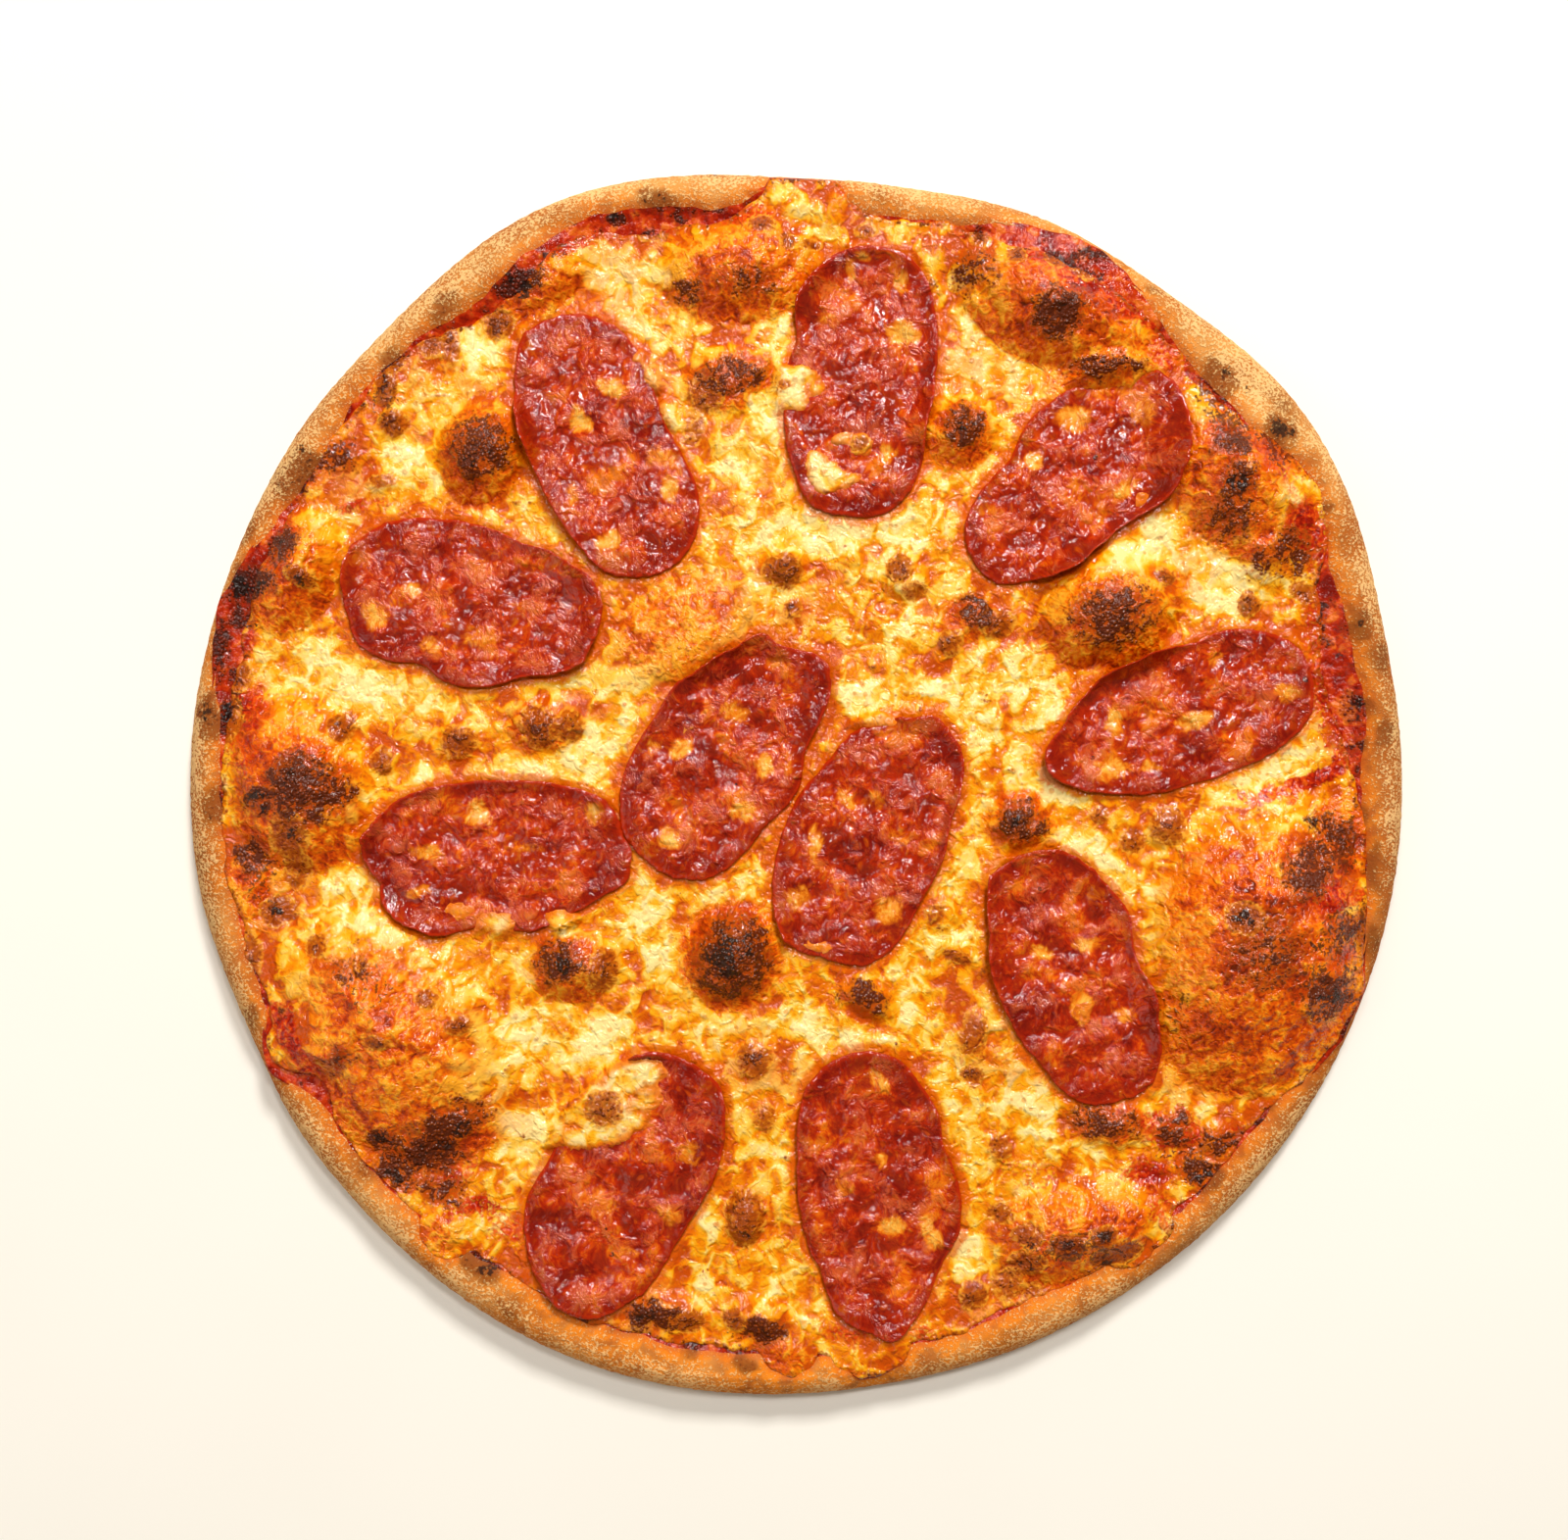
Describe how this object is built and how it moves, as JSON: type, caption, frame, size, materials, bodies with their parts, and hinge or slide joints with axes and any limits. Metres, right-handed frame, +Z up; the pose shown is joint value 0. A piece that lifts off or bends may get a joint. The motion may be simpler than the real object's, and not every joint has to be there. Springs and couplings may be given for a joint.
{
  "type": "whole salami pizza",
  "caption": "Whole uncut thin-crust pizza: a floury baked dough base with a low blistered rim, tomato sauce, melted cheese and long oval slices of spicy salami.",
  "frame": {"origin": "middle of the flat underside, under the centre of the pizza's box", "axes": "+Z up from the underside; +X to the right and +Y to the top of the pictured view"},
  "size_m": [0.3186, 0.3205, 0.0216],
  "materials": {
    "dough": "baked wheat dough, matt, dusted with semolina flour and scorched in spots",
    "sauce": "cooked tomato sauce, damp and slightly glossy",
    "cheese": "melted mozzarella, oily gloss, browned on its blisters",
    "salami": "cured sausage, red with fat marbling, oily gloss"
  },
  "bodies": {
    "root": {"dough": "dough", "sauce": "sauce", "cheese": "cheese", "salami_01": "salami", "salami_02": "salami", "salami_03": "salami", "salami_04": "salami", "salami_05": "salami", "salami_06": "salami", "salami_07": "salami", "salami_08": "salami", "salami_09": "salami", "salami_10": "salami", "salami_11": "salami"}
  },
  "joints": []
}
